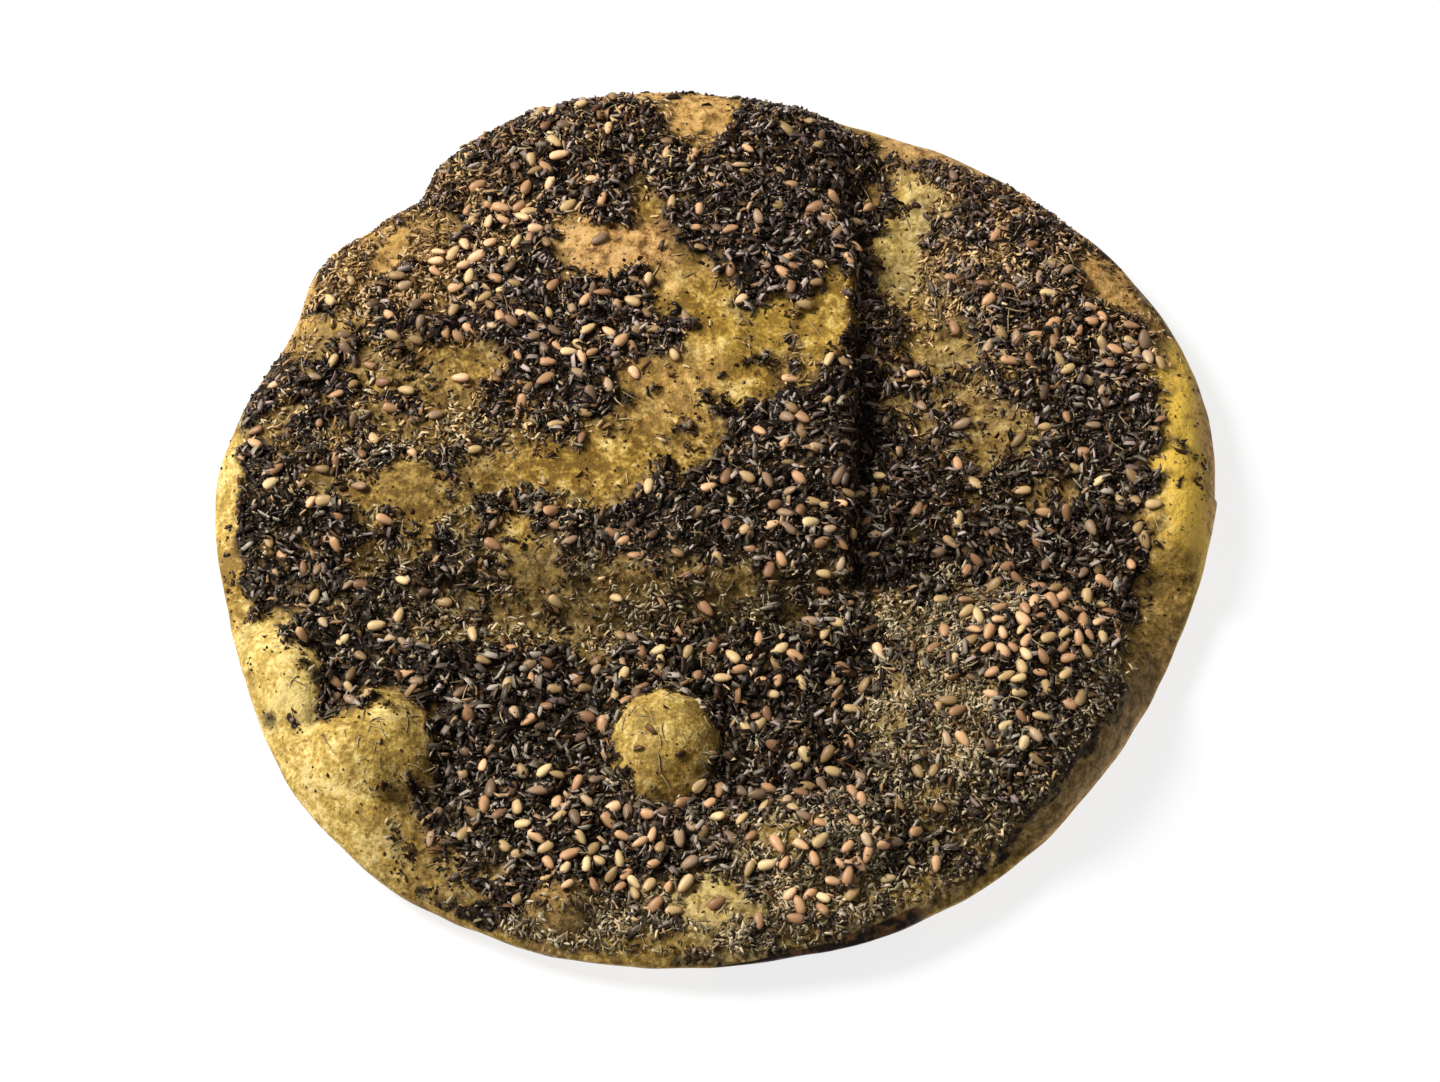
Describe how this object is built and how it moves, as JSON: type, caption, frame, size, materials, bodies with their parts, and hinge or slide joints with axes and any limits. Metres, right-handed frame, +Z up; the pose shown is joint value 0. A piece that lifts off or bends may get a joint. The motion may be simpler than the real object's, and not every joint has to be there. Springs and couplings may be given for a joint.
{
  "type": "zaatar fatayer flatbread",
  "caption": "Round hand-pressed flatbread with blisters and bare dough patches under a crust of dark herb and sesame, baked to be eaten whole or torn.",
  "frame": {"origin": "middle of the flat underside", "axes": "+Z up, +X to the right and -Y towards the viewer of the picture"},
  "size_m": [0.1565, 0.1539, 0.0145],
  "materials": {
    "crust": "baked dough under a dry crust of herb and sesame",
    "sesame": "toasted sesame seed, slightly oily",
    "herb": "dry dark herb crumb"
  },
  "bodies": {
    "root": {"flatbread": "crust"}
  },
  "joints": []
}
